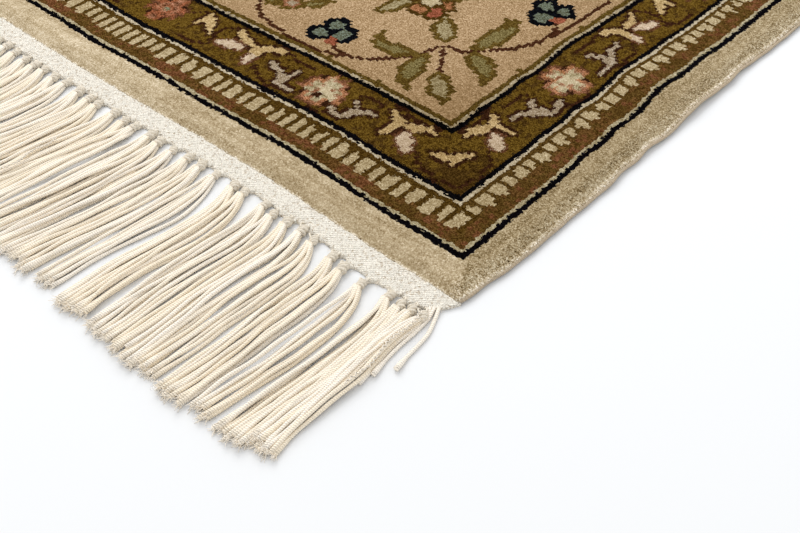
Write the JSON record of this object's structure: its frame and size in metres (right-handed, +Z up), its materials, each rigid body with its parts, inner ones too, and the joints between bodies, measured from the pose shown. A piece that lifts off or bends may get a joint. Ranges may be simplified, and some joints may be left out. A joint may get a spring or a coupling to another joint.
{
  "type": "hand-knotted rug",
  "caption": "Small rectangular hand-knotted rug with a floral field, banded borders, overcast sides and a woven web with knotted fringe at each end, lying flat.",
  "frame": {"origin": "middle of the rug on the surface that it lies on, at the bottom centre of its box", "axes": "+Z up from the surface, +Y along the rug from the front fringe to the back fringe, +X across it to the right"},
  "size_m": [0.59, 1.114, 0.0056],
  "materials": {
    "pile": "short cut knotted pile in tan, olive brown, cream and black, soft and dull with a slight sheen",
    "side_cord": "beige yarn overcast closely round the edge, dull",
    "web_fringe": "natural cream cotton, plain woven web and loosely hanging plied warps, dull"
  },
  "bodies": {
    "root": {"knotted_pile": "pile", "side_cord_right": "side_cord", "side_cord_left": "side_cord", "front_web_fringe": "web_fringe", "back_web_fringe": "web_fringe"}
  },
  "joints": []
}
